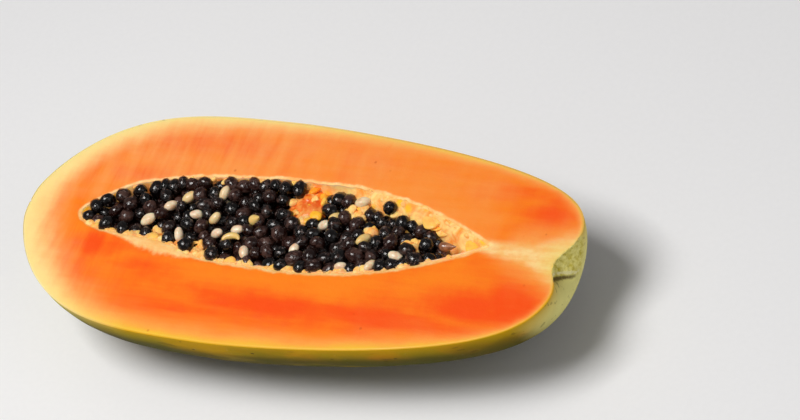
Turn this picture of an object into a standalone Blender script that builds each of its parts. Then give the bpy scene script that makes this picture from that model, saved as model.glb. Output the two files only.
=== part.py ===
"""Half of a ripe papaya, cut lengthwise, lying on its back with the seeds still in it.

Two pieces: the fruit half, whose skin, flesh and pale lining grew as one, and the heap of
seeds that wet pulp holds together in its hollow. Metres, +Z up, +X towards the stem end.
While they are modelled, the cut plane is z = 0 and the fruit's long axis is the X axis. At
the end everything moves so that the origin is under the middle, on the surface it lies on.
"""

import math
import random

import bmesh
import bpy
import numpy as np
from mathutils import Euler, Matrix, Vector

# The whole fruit, before it is cut
HALF_LENGTH = 0.135
HALF_WIDTH = 0.0598
HALF_DEPTH = 0.0510
WIDEST_AT = -0.0171
BLOSSOM_TAPER = (3.5, 1.48)  # exponents of the outline, from the widest place to each end
STEM_TAPER = (1.45, 3.8)
TIP_RADIUS = 0.0060  # where the blossom end is pressed in, to round the point of its outline
TIP_PRESS = 0.0012
BOW = 0.0020  # how far the long axis bows towards -Y
STEM_END_SLANT = 0.08
SLANT_POWER = 8  # so that only the end itself slants
RIBS = 5
RIB_HEIGHT = 0.016  # as a share of the radius
KNIFE_ABOVE_AXIS = 0.0002

# The stem scar, sunk in the blunt end
SCAR_RADIUS = 0.0100
SCAR_DEPTH = 0.0068
SCAR_MIDDLE = (-0.0008, -0.0015)

# The hollow that holds the seeds, cut through by the same plane
HOLLOW_ENDS = (-0.1050, 0.0960)
HOLLOW_WIDEST_AT = 0.0080
HOLLOW_HALF_WIDTH = 0.0232
HOLLOW_DEPTH = 0.0230
HOLLOW_BLOSSOM_TAPER = (2.5, 1.6)
HOLLOW_STEM_TAPER = (2.05, 1.0)
HOLLOW_OFFSET = 0.0034  # of its middle line from the long axis, which slants and dips at the tip
HOLLOW_SLANT = 0.012
HOLLOW_TIP_DIP = 0.0045
HOLLOW_TIP = (-0.1060, -0.0800)
SHOULDER_HEIGHT = 0.0050  # of the lining that swells into the hollow on the -Y side
SHOULDER_AT = -0.0620
SHOULDER_LENGTH = 0.0180
RAMP_BETWEEN = (-0.0100, 0.0400)  # where the +Y wall changes from upright to a ramp

# The seeds: a heap with its surface just under the cut, fallen away from the +Y wall near the stem
SEED_RADIUS = 0.0036
PALE_SEED_RADIUS = 0.0024
SEED_SHAPE = (0.95, 0.93, 1.12)
PALE_SEED_SHAPE = (0.86, 0.80, 1.24)
PALE_SHARE = 0.30
SEED_COUNT = 300
HEAP_TOP = -0.0020
HEAP_ROUGHNESS = 0.0013
HEAP_THICKNESS = 0.0095
PALE_THICKNESS = 0.00475  # pale seeds are only in this top layer
FALLEN_BY = 0.0055
FALLEN_FROM = (-0.0120, 0.0350)
FALLEN_ACROSS = (-0.30, 0.80)
SEEDS_BETWEEN = (-0.0970, 0.0800)
LAST_SEEDS_SLANT = 0.0300
LAST_SEEDS_SLOPE = 0.0120
SPACING = (1.15, 0.90)  # between seeds that touch, as a share, when they start and stop settling
SETTLING_STEPS = 90
PUSH = 0.4
SIZE_SPREAD = (0.88, 1.10)
WALL_GAP = 0.0004
SEED_WALL_GAP = 0.0008
CORE_UNDER_TOP = 0.0018
LEAST_SHOWING = 0.0014  # of a seed over the core, or it is left inside it
ROOTED_SHARE = 0.75  # every seed's middle is closer to the core than this share of its radius

FLAT_SPOT_DEPTH = 0.0007

# How finely things are meshed and cut
AROUND = 48
ALONG = 44
RING_CROWDING = (2.0, 4.0)  # rings are closer together where the blossom end and the stem end turn in
HOLLOW_AROUND = 28
HOLLOW_ALONG = 36
HEAP_CUTS = 21
FACETED_SEED_SCALE = 1.08  # an icosahedron inside a ball is smaller than the ball

CUTTER_REACH = 0.1620  # of the blocks that cut the fruit
AIR_REACH = (0.1080, 0.03712)  # half lengths of the block of air over the seeds

DRAW = 12
TINY = 1e-6
LEAST_DISTANCE = 1e-9
SLOPE_STEP = 0.0002
WIDEST_SHARE = 0.97  # of the hollow's width, where its section's depth is still measured

SKIN_COLOUR = (0.62, 0.46, 0.09, 1.0)
SKIN_ROUGHNESS = 0.45
SKIN_SHARP_DEGREES = 40
SEED_COLOUR = (0.012, 0.009, 0.010, 1.0)
SEED_ROUGHNESS = 0.25
SEED_SHARP_DEGREES = 50


def smooth_step(span, value):
    low, high = span
    t = np.clip((value - low) / (high - low), 0.0, 1.0)
    return t * t * (3.0 - 2.0 * t)


def taper(x, ends, widest_at, first, second):
    """Share of the full width left at x, for an outline with its own exponents on each side."""
    before = x < widest_at
    share = np.where(before, (widest_at - x) / (widest_at - ends[0]), (x - widest_at) / (ends[1] - widest_at))
    power = np.where(before, first[0], second[0])
    root = np.where(before, first[1], second[1])
    return (1.0 - np.clip(share, 0.0, 1.0) ** power) ** (1.0 / root)


def fruit_radius(x):
    return HALF_WIDTH * taper(x, (-HALF_LENGTH, HALF_LENGTH), WIDEST_AT, BLOSSOM_TAPER, STEM_TAPER)


def scar_dent(y, z):
    """How far the stem end is pressed in, at this place across it."""
    away = math.hypot(y - SCAR_MIDDLE[0], z - SCAR_MIDDLE[1]) / SCAR_RADIUS
    return SCAR_DEPTH * math.exp(-(away**2))


def fruit_point(latitude, longitude):
    """Where a point of the unit sphere goes; its poles are the two ends of the fruit."""
    share = latitude / (math.pi / 2)
    crowding = RING_CROWDING[share > 0]
    along = math.copysign(1.0 - (1.0 - abs(share)) ** crowding, share)
    x = along * HALF_LENGTH
    below = max(0.0, -math.sin(longitude))
    ribs = RIB_HEIGHT * below**2 * math.cos(RIBS * (longitude + math.pi / 2)) * (1.0 - along**2)
    radius = fruit_radius(x) * (1.0 + ribs)
    y = radius * math.cos(longitude)
    z = radius * math.sin(longitude) * HALF_DEPTH / HALF_WIDTH
    if along > 0:
        x += STEM_END_SLANT * y * along**SLANT_POWER - scar_dent(y, z)
    else:
        x += TIP_PRESS * math.exp(-((radius / TIP_RADIUS) ** 2))
    return Vector((x, y - BOW * (1.0 - along**2), z - KNIFE_ABOVE_AXIS))


def hollow_share(x):
    return taper(x, HOLLOW_ENDS, HOLLOW_WIDEST_AT, HOLLOW_BLOSSOM_TAPER, HOLLOW_STEM_TAPER)


def hollow_middle(x):
    return HOLLOW_OFFSET + HOLLOW_SLANT * x - HOLLOW_TIP_DIP * (1.0 - smooth_step(HOLLOW_TIP, x))


def hollow_width(x, side):
    """Half the hollow's width at the cut, towards +Y or -Y, where the lining's shoulder narrows it."""
    shoulder = SHOULDER_HEIGHT * np.exp(-(((x - SHOULDER_AT) / SHOULDER_LENGTH) ** 2)) * (side < 0)
    return np.maximum((HOLLOW_HALF_WIDTH - shoulder) * hollow_share(x), TINY)


def hollow_depth(x):
    return np.maximum(HOLLOW_DEPTH * hollow_share(x), TINY)


def section_depth(x, across):
    """Share of the hollow's depth at a share of its width: an ellipse, or a ramp on the +Y side."""
    upright = np.sqrt(1.0 - across**2)
    ramp = 1.0 - smooth_step((0.0, 1.0), np.abs(across))
    ramped = smooth_step(RAMP_BETWEEN, x) * (across > 0)
    return upright + (ramp - upright) * ramped


def hollow_point(latitude, longitude, inset):
    """A point of the hollow's wall, or of a smaller hollow inside it."""
    half_length = (HOLLOW_ENDS[1] - HOLLOW_ENDS[0]) / 2
    x = HOLLOW_ENDS[0] + half_length * (1.0 + math.sin(latitude))
    across = math.cos(longitude)
    width = max(0.0, hollow_width(x, across) - inset)
    depth = max(0.0, hollow_depth(x) - inset)
    up_or_down = math.copysign(1.0, math.sin(longitude))
    z = up_or_down * depth * section_depth(x, across) - KNIFE_ABOVE_AXIS
    return Vector((x, hollow_middle(x) + width * across, z))


def heap_top(x, y):
    """Height of the middles of the topmost seeds over a place on the cut plane."""
    across = (y - hollow_middle(x)) / HOLLOW_HALF_WIDTH
    fallen = smooth_step(FALLEN_FROM, x) * smooth_step(FALLEN_ACROSS, across)
    last = SEEDS_BETWEEN[1] - LAST_SEEDS_SLANT * np.maximum(0.0, across)
    past_last = smooth_step((-LAST_SEEDS_SLOPE, LAST_SEEDS_SLOPE), x - last)
    return HEAP_TOP - FALLEN_BY * fallen - 2 * HOLLOW_DEPTH * past_last


def push_apart(places, radii, spacing):
    """One step that moves seeds out of each other."""
    between = places[:, None, :] - places[None, :, :]
    distance = np.linalg.norm(between, axis=2) + LEAST_DISTANCE
    overlap = spacing * (radii[:, None] + radii[None, :]) - distance
    np.fill_diagonal(overlap, 0.0)
    push = PUSH * np.clip(overlap, 0.0, None) / distance
    return places + (push[:, :, None] * between).sum(axis=1)


def hollow_level(places):
    """1 on the wall of the hollow and less inside it."""
    x, y, z = places.T
    across = y - hollow_middle(x)
    share = np.abs(across) / hollow_width(x, across)
    inside = np.minimum(share, WIDEST_SHARE)
    narrowing = np.sqrt(1.0 - inside**2) / section_depth(x, inside * np.sign(across))
    return np.hypot(share, np.minimum(z, 0.0) / hollow_depth(x) * narrowing)


def keep_in_hollow(places, radii, ceilings):
    """One step that moves seeds under the heap's surface and off the hollow's wall."""
    x, y, z = places.T
    z = np.clip(z, heap_top(x, y) - HEAP_THICKNESS, heap_top(x, y) + ceilings)
    places = np.stack([np.clip(x, *SEEDS_BETWEEN), y, z], axis=1)
    steps = SLOPE_STEP * np.eye(3)
    rises = [hollow_level(places + step) - hollow_level(places - step) for step in steps]
    slope = np.stack(rises, axis=1) / (2 * SLOPE_STEP)
    steepness = np.linalg.norm(slope, axis=1) + TINY
    short_by = radii + SEED_WALL_GAP - (1.0 - hollow_level(places)) / steepness
    return places - slope * (np.maximum(short_by, 0.0) / steepness)[:, None]


def settled_seeds():
    """Middle, radius, turn and kind of each seed, after loose seeds have been packed into the heap."""
    draw = random.Random(DRAW)
    places, radii, ceilings, pale = [], [], [], []
    while len(places) < SEED_COUNT:
        x = draw.uniform(*SEEDS_BETWEEN)
        y = hollow_middle(x) + draw.uniform(-HOLLOW_HALF_WIDTH, HOLLOW_HALF_WIDTH)
        depth = draw.uniform(0.0, HEAP_THICKNESS)
        if abs(y - hollow_middle(x)) > hollow_width(x, y - hollow_middle(x)):
            continue
        is_pale = depth < PALE_THICKNESS and draw.random() < PALE_SHARE
        places.append((x, y, heap_top(x, y) - depth))
        radius = (PALE_SEED_RADIUS if is_pale else SEED_RADIUS) * draw.uniform(*SIZE_SPREAD)
        radii.append(radius)
        ceilings.append(min(draw.uniform(-1.0, 1.0) * HEAP_ROUGHNESS, ROOTED_SHARE * radius - CORE_UNDER_TOP))
        pale.append(is_pale)
    places, radii, ceilings = np.array(places), np.array(radii), np.array(ceilings)
    longest = FACETED_SEED_SCALE * radii * np.where(pale, PALE_SEED_SHAPE[2], SEED_SHAPE[2])
    for spacing in np.linspace(*SPACING, SETTLING_STEPS):
        places = keep_in_hollow(push_apart(places, radii, spacing), longest, ceilings)
    turns = [Euler([draw.uniform(0.0, math.pi) for _ in range(3)]) for _ in places]
    return list(zip(places, radii, turns, pale))


def material(name, colour, roughness):
    made = bpy.data.materials.new(name)
    made.use_nodes = True
    shader = made.node_tree.nodes["Principled BSDF"]
    shader.inputs["Base Color"].default_value = colour
    shader.inputs["Roughness"].default_value = roughness
    shader.inputs["Metallic"].default_value = 0.0
    return made


def mesh_object(name, shape, collection):
    """An object from a bmesh, which is then freed."""
    mesh = bpy.data.meshes.new(name)
    shape.to_mesh(mesh)
    shape.free()
    made = bpy.data.objects.new(name, mesh)
    collection.objects.link(made)
    return made


def cutter(made):
    made.hide_render = True
    made.display_type = "WIRE"
    return made


def warped_sphere(name, around, along, place, collection):
    """A closed sphere with every vertex moved by place(), which gets its latitude and longitude."""
    shape = bmesh.new()
    bmesh.ops.create_uvsphere(shape, u_segments=around, v_segments=along, radius=1.0)
    half_step = math.pi / around  # keeps vertices off the cut plane
    for vert in shape.verts:
        latitude = math.asin(max(-1.0, min(1.0, vert.co.z)))
        vert.co = place(latitude, math.atan2(vert.co.y, vert.co.x) + half_step)
    bmesh.ops.recalc_face_normals(shape, faces=shape.faces)
    return mesh_object(name, shape, collection)


def block(name, low, high, collection, cuts=0):
    """A box between two corners, with its faces divided if it is to be bent."""
    shape = bmesh.new()
    bmesh.ops.create_cube(shape, size=1.0)
    if cuts:
        bmesh.ops.subdivide_edges(shape, edges=shape.edges, cuts=cuts, use_grid_fill=True)
    size = Vector(high) - Vector(low)
    middle = (Vector(high) + Vector(low)) / 2
    matrix = Matrix.Translation(middle) @ Matrix.Diagonal((*size, 1.0))
    bmesh.ops.transform(shape, matrix=matrix, verts=shape.verts)
    return cutter(mesh_object(name, shape, collection))


def boolean(target, operation, other):
    modifier = target.modifiers.new(other.name, "BOOLEAN")
    modifier.operation = operation
    modifier.solver = "EXACT"
    if isinstance(other, bpy.types.Collection):
        modifier.operand_type = "COLLECTION"
        modifier.collection = other
    else:
        modifier.object = other


def apply_modifiers(target):
    graph = bpy.context.evaluated_depsgraph_get()
    baked = bpy.data.meshes.new_from_object(target.evaluated_get(graph))
    target.modifiers.clear()
    target.data = baked


def finish(target, finish_material, sharp_degrees):
    target.data.materials.clear()
    target.data.materials.append(finish_material)
    target.data.shade_smooth()
    target.data.set_sharp_from_angle(angle=math.radians(sharp_degrees))


def hollow_shape(name, inset, collection):
    """The hollow, or a smaller one inside it."""
    return warped_sphere(
        name, HOLLOW_AROUND, HOLLOW_ALONG, lambda lat, lon: hollow_point(lat, lon, inset), collection
    )


def make_fruit_half(parts, cutters):
    """A whole fruit less what lies above the cut, under the table and in the hollow."""
    fruit = warped_sphere("papaya_half", AROUND, ALONG, fruit_point, parts)
    reach = CUTTER_REACH
    above = block("above_the_cut", (-reach, -reach, 0.0), (reach, reach, reach), cutters)
    table = FLAT_SPOT_DEPTH - HALF_DEPTH
    below = block("under_the_table", (-reach, -reach, -reach), (reach, reach, table), cutters)
    hollow = hollow_shape("seed_hollow", 0.0, cutters)
    for tool in (above, below, cutter(hollow)):
        boolean(fruit, "DIFFERENCE", tool)
    apply_modifiers(fruit)
    finish(fruit, material("skin", SKIN_COLOUR, SKIN_ROUGHNESS), SKIN_SHARP_DEGREES)
    return fruit


def make_seeds(parts, cutters):
    """The heap: a core that follows the hollow, with the topmost seeds standing out of it."""
    core = hollow_shape("seeds", WALL_GAP, parts)
    reach, side = AIR_REACH
    air = block("air_over_seeds", (-reach, -side, 0.0), (reach, side, side), cutters, HEAP_CUTS)
    for vert in air.data.vertices:
        if vert.co.z < TINY:
            vert.co.z = heap_top(vert.co.x, vert.co.y) - CORE_UNDER_TOP
    boolean(core, "DIFFERENCE", air)
    apply_modifiers(core)

    heap = bpy.data.collections.new("topmost_seeds")
    bpy.context.scene.collection.children.link(heap)
    for place, radius, turn, pale in settled_seeds():
        if place[2] + radius < heap_top(place[0], place[1]) - CORE_UNDER_TOP + LEAST_SHOWING:
            continue
        shape = bmesh.new()
        bmesh.ops.create_icosphere(shape, subdivisions=1, radius=radius * FACETED_SEED_SCALE)
        sides = Matrix.Diagonal((*(PALE_SEED_SHAPE if pale else SEED_SHAPE), 1.0))
        matrix = Matrix.Translation(place) @ turn.to_matrix().to_4x4() @ sides
        bmesh.ops.transform(shape, matrix=matrix, verts=shape.verts)
        mesh_object("seed", shape, heap)
    print(len(heap.objects), "seeds stand out of the heap")
    boolean(core, "UNION", heap)
    apply_modifiers(core)
    for seed in list(heap.objects):
        bpy.data.objects.remove(seed)
    bpy.data.collections.remove(heap)
    finish(core, material("seed", SEED_COLOUR, SEED_ROUGHNESS), SEED_SHARP_DEGREES)
    return core


def set_down(objects):
    """Moves the meshes so that the origin is under the middle of the whole object, at its lowest point."""
    corners = np.array([vert.co for made in objects for vert in made.data.vertices])
    low, high = corners.min(axis=0), corners.max(axis=0)
    shift = Vector((-(low[0] + high[0]) / 2, -(low[1] + high[1]) / 2, -low[2]))
    for made in objects:
        made.data.transform(Matrix.Translation(shift))
    print("moved by", [round(value * 1000, 3) for value in shift], "mm")


def main():
    for old in list(bpy.data.objects):
        bpy.data.objects.remove(old)
    parts = bpy.data.collections.new("papaya")
    cutters = bpy.data.collections.new("cutters")
    for collection in (parts, cutters):
        bpy.context.scene.collection.children.link(collection)
    set_down([make_fruit_half(parts, cutters), make_seeds(parts, cutters)])


main()
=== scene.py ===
"""Looks of a papaya half that lies on its back, with the cut face up and its seeds still in it.

Metres. Shapes are worked out with the cut plane at z = 0 and the fruit's long axis along X, as
the solids are, and then moved to where the solids lie. +X is the stem end.
"""
import random
from math import cos, pi, sin, sqrt

import bmesh
import bpy
import numpy as np
from mathutils import Euler, Matrix, Vector, noise


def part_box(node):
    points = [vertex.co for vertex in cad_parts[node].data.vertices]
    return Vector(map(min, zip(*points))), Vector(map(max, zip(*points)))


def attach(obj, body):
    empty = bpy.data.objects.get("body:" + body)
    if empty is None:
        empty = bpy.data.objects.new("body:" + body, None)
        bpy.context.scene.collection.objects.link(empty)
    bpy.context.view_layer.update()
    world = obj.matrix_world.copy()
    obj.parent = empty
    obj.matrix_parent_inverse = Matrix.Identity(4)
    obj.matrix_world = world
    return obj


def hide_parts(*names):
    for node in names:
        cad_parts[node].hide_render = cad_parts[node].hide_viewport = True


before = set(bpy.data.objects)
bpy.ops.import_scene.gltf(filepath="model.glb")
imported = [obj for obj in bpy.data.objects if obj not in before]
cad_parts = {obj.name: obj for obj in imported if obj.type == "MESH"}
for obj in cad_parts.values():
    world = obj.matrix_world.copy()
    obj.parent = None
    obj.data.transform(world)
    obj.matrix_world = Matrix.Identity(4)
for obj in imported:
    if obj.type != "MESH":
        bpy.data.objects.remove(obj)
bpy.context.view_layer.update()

# Where the solids lie
CUT_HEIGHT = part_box("papaya_half")[1][2]
LIFT = Vector((-0.000668, 0.001929, CUT_HEIGHT))

# The whole fruit before it is cut, as in the solids
HALF_LENGTH = 0.135
HALF_WIDTH = 0.0598
HALF_DEPTH = 0.051
WIDEST_AT = -0.0171
BLOSSOM_TAPER = (3.5, 1.48)
STEM_TAPER = (1.45, 3.8)
TIP_RADIUS = 0.006
TIP_PRESS = 0.0012
BOW = 0.002
STEM_END_SLANT = 0.08
SLANT_POWER = 8
RIBS = 5
RIB_HEIGHT = 0.016
SCAR_RADIUS = 0.01
SCAR_DEPTH = 0.0068
SCAR_MIDDLE = (-0.0008, -0.0015)
FLAT_SPOT_DEPTH = 0.0007

# The hollow, as in the solids
HOLLOW_ENDS = (-0.105, 0.096)
HOLLOW_WIDEST_AT = 0.008
HOLLOW_HALF_WIDTH = 0.0232
HOLLOW_DEPTH = 0.023
HOLLOW_BLOSSOM_TAPER = (2.5, 1.6)
HOLLOW_STEM_TAPER = (2.05, 1.0)
HOLLOW_OFFSET = 0.0034
HOLLOW_SLANT = 0.012
HOLLOW_TIP_DIP = 0.0045
HOLLOW_TIP = (-0.106, -0.08)
SHOULDER_HEIGHT = 0.005
SHOULDER_AT = -0.062
SHOULDER_LENGTH = 0.018
RAMP_BETWEEN = (-0.01, 0.04)

# The heap of seeds, with the solids' own surface. The seeds press into the soft lining
SEED_RADIUS = 0.0036
PALE_SEED_RADIUS = 0.0025
SEED_SHAPE = (0.95, 0.9, 1.14)
PALE_SEED_SHAPE = (0.84, 0.78, 1.3)
SEED_COUNT = 330
HEAP_TOP = -0.002
HEAP_ROUGHNESS = 0.002
HIGHEST_MIDDLE = -0.0012
HEAP_THICKNESS = 0.0095
FALLEN_BY = 0.0055
FALLEN_FROM = (-0.012, 0.035)
FALLEN_ACROSS = (-0.3, 0.8)
SEEDS_BETWEEN = (-0.101, 0.08)
LAST_SEEDS_SLANT = 0.03
LAST_SEEDS_SLOPE = 0.012
SPACING = (1.12, 0.88)
SETTLING_STEPS = 90
PUSH = 0.4
SIZE_SPREAD = (0.88, 1.12)
SEED_WALL_GAP = -0.001
SHOWING_DEPTH = 0.0065  # deeper seeds are hidden
DRAW = 4
TINY = 1e-6

# How finely the fruit is meshed
STATIONS = 320
SKIN_POINTS = 104
FACE_POINTS = 46
WALL_POINTS = 70
EDGE_CROWDING = 0.86

# The wet pulp: its mesh, and how far it reaches past the seeds, under them and into the wall
PULP_RINGS = 150
PULP_POINTS = 44
PULP_MARGIN = 0.004
PULP_BELOW_SEEDS = 0.0042
PULP_BELOW_TISSUE = 0.0012
PULP_IN_WALL = (0.002, 0.003)

# Small relief
RIM_ROUNDING = (0.00045, 0.0005)  # how far down, and over what width
LINING_ROUNDING = (0.0008, 0.001)
FACE_WAVES = (0.00016, 0.014)  # height and length
LINING_LUMPS = (0.0011, 0.0055)
RAMP_ROUGHENS = (0.03, 0.055)
RELIEF_FROM = (0.0, 0.004)  # depth below the cut over which the relief sets in
PULP_LUMPS = (0.0012, 0.0045)
BARE_LUMPS = (0.003, 0.004)
SKIN_DIMPLES = (0.00025, 0.011)
PAD_FIBRES = (0.0006, 0.0016)
CREASE_DEPTH = 0.0011
EDGE_RAGGEDNESS = (0.00065, 0.004)

# Redder patches of the cut face: middle, half lengths along X and Y, strength
RED_PATCHES = (
    (0.1175, -0.024, 0.013, 0.0092, 1.05),
    (0.1, -0.027, 0.02, 0.008, 0.85),
    (0.06, -0.038, 0.045, 0.006, 0.75),
    (0.01, -0.039, 0.05, 0.007, 0.7),
    (-0.087, -0.019, 0.015, 0.0065, 0.62),
    (-0.06, -0.027, 0.023, 0.008, 0.45),
    (-0.085, 0.0215, 0.015, 0.005, 0.55),
    (0.119, 0.024, 0.012, 0.0085, 0.66),
    (0.095, 0.032, 0.024, 0.0055, 0.52),
    (0.04, 0.044, 0.05, 0.005, 0.3),
    (-0.055, 0.042, 0.042, 0.007, 0.52),
)
RED_PATCH_FADING = 0.7
LEAST_RED = 0.1
RED_BAND = (0.62, 0.22)  # share of the way from the hollow to the skin, and half its width
RED_BAND_STRENGTH = 0.3
FAR_SIDE = (-0.004, 0.01)  # where along Y the near side's paint turns into the far side's
FAR_PALENESS = 0.29
FAR_PALE_UNTIL = (0.085, 0.11)

# The cut face's pale border, by place along X: how wide it is, and how golden its outer line is
NEAR_BORDER = (
    (-0.13, -0.09, -0.062, -0.03, 0.08, 0.12), (0.0195, 0.0115, 0.0068, 0.0058, 0.005, 0.0019)
)
FAR_BORDER = (
    (-0.13, -0.1, -0.035, 0.01, 0.06, 0.118), (0.0195, 0.0122, 0.0084, 0.006, 0.0052, 0.002)
)
NEAR_GOLD = ((-0.105, -0.055), (0.0, 1.0))
FAR_GOLD = ((-0.1, -0.03, 0.01, 0.06), (0.0, 0.15, 0.5, 0.75))
BLUNT_END = (-0.13, -0.07)
EDGE_WIDTH = 0.0009

# Cream tissue round the hollow, and the pale strand from its tip to the scar
CREAM_WIDTH = 0.0018
CREAM_WEDGE = (-0.06, 0.017)  # middle and half length
WEDGE_WIDTH = 0.0062
NEAR_CREAM_WIDTH = 0.0009
NEAR_CREAM_FROM = (-0.04, 0.0)
STRAND_FROM = (0.086, 0.098)
STRAND_START = 0.0037  # along Y, at the hollow's tip
STRAND_SLANT = 0.09
STRAND_WIDTHS = (0.004, 0.045, 0.009)  # at its start, growing past it, and more at the scar
STRAND_FLARE = (0.112, 0.136)
GLOW_FROM = (0.09, 0.114)  # paler flesh on both sides of the strand
GLOW_WIDTHS = (0.0085, 0.3)
GLOW_STRENGTH = 0.56
SCAR_PALENESS = (0.116, 0.134)
SCAR_PALE_WIDTH = 0.012

# Paint on the skin, in metres from the cut plane and along the fruit
NEAR_RIM_DEPTH = 0.004
# Depths over which the belly's dark green sets in, partly the skin's own green and partly painted shade
GREEN_AND_SHADED_BELLY = (0.001, 0.016)
PALE_STEM_END = (0.118, 0.134)
# Paler skin towards the blossom end, reaching far enough in to be partly painted light
PALE_AND_LIT_BLOSSOM_END = (-0.135, -0.07)
PALE_DOWN_TO = (0.012, 0.038)
GREEN_SIDE = ((-0.078, 0.032), (-0.01, 0.012))  # middle and half width along X and along Z
GREEN_SHOULDER = ((0.115, 0.01), (-0.009, 0.006))
STEM_FACE = (0.11, 0.112)
PAD_MIDDLE = (0.003, -0.002)
PAD_EDGE = (0.0105, 0.0135)
CREASE_START = -0.0098
CREASE_LEAN = (0.718, 0.697)  # across the crease, as shares of Y and Z
CREASE = (-0.0001, 0.0011)  # middle and half width
CREASE_EDGE = 0.0008
CREASE_FADES = (-0.006, 0.006)
# Painted highlight along the lip above the crease: offset and half width
CREASE_HIGHLIGHT = (0.0019, 0.0009)

# Places without seeds, where bare tissue shows: middle, half lengths along X and Y, ripeness
BARE_PATCHES = (
    (0.0035, 0.0165, 0.0095, 0.0095, 1.0),
    (-0.0628, -0.0096, 0.0042, 0.0036, 0.1),
    (-0.05, -0.0128, 0.004, 0.0026, 0.2),
    (-0.0405, -0.013, 0.0024, 0.0044, 0.3),
    (0.029, 0.0152, 0.0062, 0.0024, 0.45),
    (0.0385, 0.004, 0.002, 0.0042, 0.35),
    (0.0605, 0.002, 0.0038, 0.0032, 0.3),
)
BARE_PATCH_HEIGHT = -0.002
BARE_BALL_MIDDLE = -0.005  # height of the middle of the ball that keeps seeds out of a patch
NEAR_SIDE_RIPENESS = 0.45  # a patch ripens towards its far side

# Seeds at given places, in metres on the cut plane
PALE_SEEDS = (
    (-0.0384, 0.0164), (-0.0472, 0.0035), (-0.0375, 0.0025), (-0.024, -0.002),
    (-0.0159, -0.0132), (-0.0331, -0.0051), (-0.0514, -0.008), (0.0072, -0.0086),
    (0.0184, 0.0123), (0.0157, 0.0065), (0.0295, 0.0202), (0.0326, -0.0143),
    (-0.062, 0.0065), (-0.07, -0.002), (0.046, -0.012), (0.0375, 0.001),
    (-0.055, 0.012), (0.056, -0.006),
)
FAR_RIM_SEEDS = (
    (-0.0955, 0.0062), (-0.089, 0.0098), (-0.0815, 0.013), (-0.0738, 0.0155),
    (-0.0655, 0.0178), (-0.0565, 0.0195), (0.013, 0.0205), (0.0215, 0.021),
    (0.0335, 0.0165), (0.0436, 0.0185), (0.041, 0.0135),
)
PALE_SEED_LIFT = 0.001

# Beads by piece: subdivisions, and the size and depth of their wrinkles
BEAD_SHAPES = {
    "dark_seeds": (2, 0.0026, 0.002),
    "deeper_seeds": (2, 0.0026, 0.0016),
    "pale_seeds": (3, 0.003, 0.0007),
    "ramp_tissue": (4, 0.0036, 0.0014),
    "bare_tissue": (3, 0.0028, 0.002),
    "torn_fringe": (3, 0.003, 0.0014),
}
TOP_LAYER = 0.003  # seeds less deep than this are the dark seeds on top
SEED_VARIETY = (0.93, 1.07)
PALE_SEED_VARIETY = (0.9, 1.15)
PALE_SIDE_VARIETY = (0.9, 1.1)

# Lumps of tissue: how many, how long, and how thick for their length
RAMP_TISSUE = (9, (0.0036, 0.007), (0.2, 0.26))
RAMP_TISSUE_BETWEEN = ((0.046, 0.088), (0.1, 0.85))  # along X, and as a share of the hollow's half width
RAMP_TISSUE_SUNK = 0.2
PATCH_TISSUE = (5, 11)  # lumps in a patch, and how many more in a ripe one
PATCH_TISSUE_LENGTH = (0.0016, 0.0038)
PATCH_TISSUE_LIFT = (-0.002, -0.0006)
BARE_TISSUE = (62, (0.0014, 0.003), (0.4, 0.7))
BARE_TISSUE_BETWEEN = ((-0.09, 0.076), (-0.017, 0.015))
BARE_TISSUE_SUNK = (0.0002, 0.0016)
FRINGE = (70, (0.0016, 0.004), (0.3, 0.5))
FRINGE_BETWEEN = (HOLLOW_ENDS[0] + 0.004, 0.186)  # where it starts, and its whole length
FRINGE_OUT = (-0.2, 0.4)  # shares of a lump's length
FRINGE_DROP = (0.0005, 0.38)
TISSUE_TOP = -0.0002  # no lump's middle is higher


def colour(red, green, blue):
    """A linear colour from the three numbers of a screen colour, 0 to 255."""
    screen = np.array([red, green, blue]) / 255.0
    linear = np.where(screen <= 0.04045, screen / 12.92, ((screen + 0.055) / 1.055) ** 2.4)
    return (*linear.tolist(), 1.0)


def smooth_step(span, value):
    low, high = span
    t = np.clip((value - low) / (high - low), 0.0, 1.0)
    return t * t * (3.0 - 2.0 * t)


def bump(value, middle, half_width):
    """1 at the middle, fading to both sides."""
    return np.exp(-(((value - middle) / half_width) ** 2))


def lumps(points, size, start=0.0):
    """Smooth noise, about -1 to 1, at each point."""
    offset = Vector((start, 0.0, 0.0))
    return np.array([noise.noise(Vector(point) / size + offset) for point in points])


# The shape of the fruit and its hollow


def taper(x, ends, widest_at, first, second):
    """Share of the full width at x. Each side of the widest place has its own exponents."""
    before = x < widest_at
    to_first, to_second = (widest_at - x) / (widest_at - ends[0]), (x - widest_at) / (ends[1] - widest_at)
    share = np.where(before, to_first, to_second)
    power = np.where(before, first[0], second[0])
    root = np.where(before, first[1], second[1])
    return (1.0 - np.clip(share, 0.0, 1.0) ** power) ** (1.0 / root)


def fruit_radius(x):
    return HALF_WIDTH * taper(x, (-HALF_LENGTH, HALF_LENGTH), WIDEST_AT, BLOSSOM_TAPER, STEM_TAPER)


def fruit_points(along, longitude):
    """Points of the skin. along goes from -1 at the blossom end to 1 at the stem end."""
    x = along * HALF_LENGTH
    below = np.maximum(0.0, -np.sin(longitude))
    ribs = RIB_HEIGHT * below**2 * np.cos(RIBS * (longitude + pi / 2)) * (1.0 - along**2)
    radius = fruit_radius(x) * (1.0 + ribs)
    y = radius * np.cos(longitude)
    z = radius * np.sin(longitude) * HALF_DEPTH / HALF_WIDTH
    away = np.hypot(y - SCAR_MIDDLE[0], z - SCAR_MIDDLE[1]) / SCAR_RADIUS
    stem_end = STEM_END_SLANT * y * along**SLANT_POWER - SCAR_DEPTH * np.exp(-(away**2))
    blossom_end = TIP_PRESS * np.exp(-((radius / TIP_RADIUS) ** 2))
    x = x + np.where(along > 0, stem_end, blossom_end)
    return np.stack([x, y - BOW * (1.0 - along**2), z], axis=-1)


def hollow_share(x):
    return taper(x, HOLLOW_ENDS, HOLLOW_WIDEST_AT, HOLLOW_BLOSSOM_TAPER, HOLLOW_STEM_TAPER)


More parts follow.
